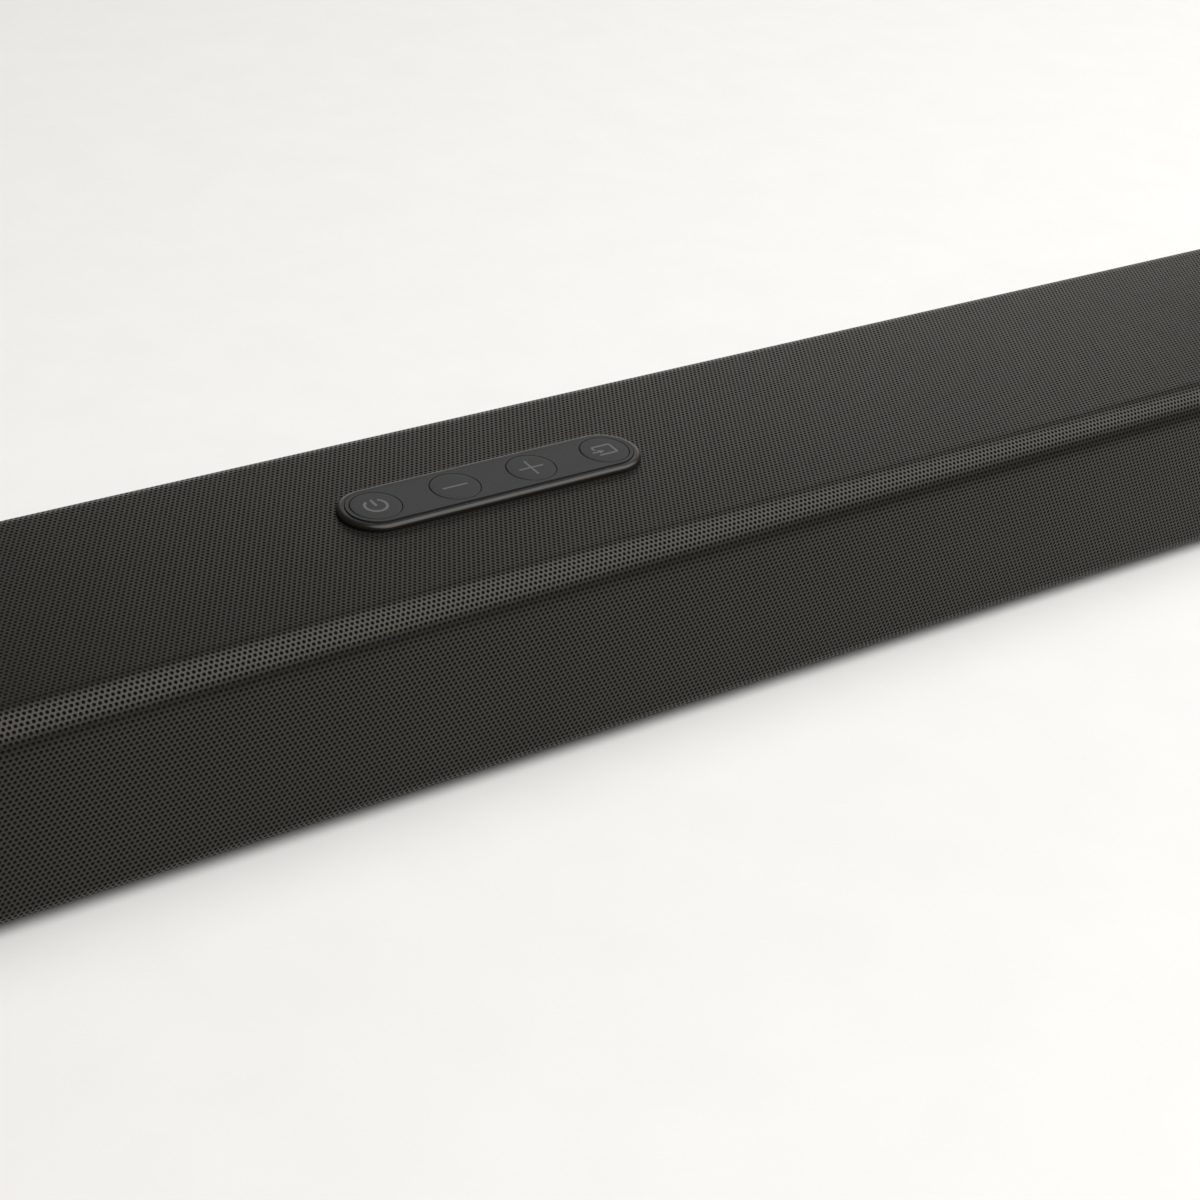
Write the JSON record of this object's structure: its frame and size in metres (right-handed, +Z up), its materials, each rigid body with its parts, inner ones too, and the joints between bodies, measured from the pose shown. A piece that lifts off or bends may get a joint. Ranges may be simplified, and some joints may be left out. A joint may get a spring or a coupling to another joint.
{
  "type": "soundbar",
  "caption": "Long low soundbar: perforated steel grille wrapped round a moulded cabinet, pill-shaped control panel with round push buttons on top, connector recess behind.",
  "frame": {"origin": "middle of the footprint, on the surface that the rubber feet stand on", "axes": "+X along the bar, to the right for someone facing its front; the front faces -Y; +Z up"},
  "size_m": [0.9, 0.095, 0.0642],
  "materials": {
    "grille_steel": "satin powder coat on perforated sheet",
    "scrim_cloth": "thin black acoustic cloth",
    "housing_plastic": "fine moulded texture",
    "cap_plastic": "fine moulded texture",
    "panel_plastic": "soft matte, smooth",
    "button_plastic": "soft matte, smooth, printed symbols",
    "switch_plastic": "moulded",
    "board_laminate": "solder mask",
    "switch_metal": "plain",
    "foot_rubber": "matte",
    "insert_brass": "turned",
    "screw_steel": "black zinc plated",
    "socket_plate_plastic": "fine moulded texture",
    "socket_plastic": "moulded",
    "socket_metal": "nickel plated",
    "component_plastic": "moulded epoxy",
    "heatsink_aluminium": "extruded",
    "transformer_core": "taped",
    "capacitor_can": "sleeved can",
    "ribbon_plastic": "flat cable",
    "lamp_lens": "clear",
    "driver_frame": "stamped and painted",
    "driver_magnet": "ferrite",
    "cone_paper": "pressed fibre",
    "surround_rubber": "half roll"
  },
  "bodies": {
    "housing": {"acoustic_cloth": "scrim_cloth", "amplifier_board": "board_laminate", "amplifier_chip": "component_plastic", "audio_socket": "socket_plastic", "board_screws": "screw_steel", "cabinet_screws": "screw_steel", "capacitors": "capacitor_can", "driver_screws": "screw_steel", "end_cap_left": "cap_plastic", "end_cap_right": "cap_plastic", "front_housing": "housing_plastic", "grille": "grille_steel", "heatsink": "heatsink_aluminium", "indicator_board": "board_laminate", "indicator_lamps": "lamp_lens", "optical_socket": "socket_plastic", "panel_bezel": "panel_plastic", "panel_plate": "panel_plastic", "power_board": "board_laminate", "power_socket": "socket_plastic", "rear_housing": "housing_plastic", "remote_receiver": "component_plastic", "ribbon_cable": "ribbon_plastic", "rubber_feet": "foot_rubber", "socket_plate": "socket_plate_plastic", "switch_board": "board_laminate", "tact_switches": "switch_metal", "transformer": "transformer_core", "tweeter_left_frame": "driver_frame", "tweeter_left_magnet": "driver_magnet", "tweeter_left_surround": "surround_rubber", "tweeter_right_frame": "driver_frame", "tweeter_right_magnet": "driver_magnet", "tweeter_right_surround": "surround_rubber", "usb_socket": "socket_metal", "video_socket": "socket_metal", "wall_inserts": "insert_brass", "woofer_left_frame": "driver_frame", "woofer_left_magnet": "driver_magnet", "woofer_left_surround": "surround_rubber", "woofer_right_frame": "driver_frame", "woofer_right_magnet": "driver_magnet", "woofer_right_surround": "surround_rubber"},
    "button_power": {"button_power": "button_plastic", "plunger_power": "switch_plastic"},
    "button_volume_down": {"button_volume_down": "button_plastic", "plunger_volume_down": "switch_plastic"},
    "button_volume_up": {"button_volume_up": "button_plastic", "plunger_volume_up": "switch_plastic"},
    "button_input": {"button_input": "button_plastic", "plunger_input": "switch_plastic"},
    "woofer_left_cone": {"woofer_left_cone": "cone_paper"},
    "woofer_right_cone": {"woofer_right_cone": "cone_paper"},
    "tweeter_left_cone": {"tweeter_left_cone": "cone_paper"},
    "tweeter_right_cone": {"tweeter_right_cone": "cone_paper"}
  },
  "joints": [
    {"name": "power_press", "type": "slide", "parent": "housing", "child": "button_power", "axis": [0, 0, -1], "range_m": [0, 0.0005], "stiffness_N_per_m": 3000},
    {"name": "volume_down_press", "type": "slide", "parent": "housing", "child": "button_volume_down", "axis": [0, 0, -1], "range_m": [0, 0.0005], "stiffness_N_per_m": 3000},
    {"name": "volume_up_press", "type": "slide", "parent": "housing", "child": "button_volume_up", "axis": [0, 0, -1], "range_m": [0, 0.0005], "stiffness_N_per_m": 3000},
    {"name": "input_press", "type": "slide", "parent": "housing", "child": "button_input", "axis": [0, 0, -1], "range_m": [0, 0.0005], "stiffness_N_per_m": 3000},
    {"name": "woofer_left_excursion", "type": "slide", "parent": "housing", "child": "woofer_left_cone", "axis": [0, -1, 0], "range_m": [-0.001, 0.001], "stiffness_N_per_m": 1500, "deforming": ["woofer_left_surround"]},
    {"name": "woofer_right_excursion", "type": "slide", "parent": "housing", "child": "woofer_right_cone", "axis": [0, -1, 0], "range_m": [-0.001, 0.001], "stiffness_N_per_m": 1500, "deforming": ["woofer_right_surround"]},
    {"name": "tweeter_left_excursion", "type": "slide", "parent": "housing", "child": "tweeter_left_cone", "axis": [0, -1, 0], "range_m": [-0.0003, 0.0003], "stiffness_N_per_m": 2500, "deforming": ["tweeter_left_surround"]},
    {"name": "tweeter_right_excursion", "type": "slide", "parent": "housing", "child": "tweeter_right_cone", "axis": [0, -1, 0], "range_m": [-0.0003, 0.0003], "stiffness_N_per_m": 2500, "deforming": ["tweeter_right_surround"]}
  ]
}
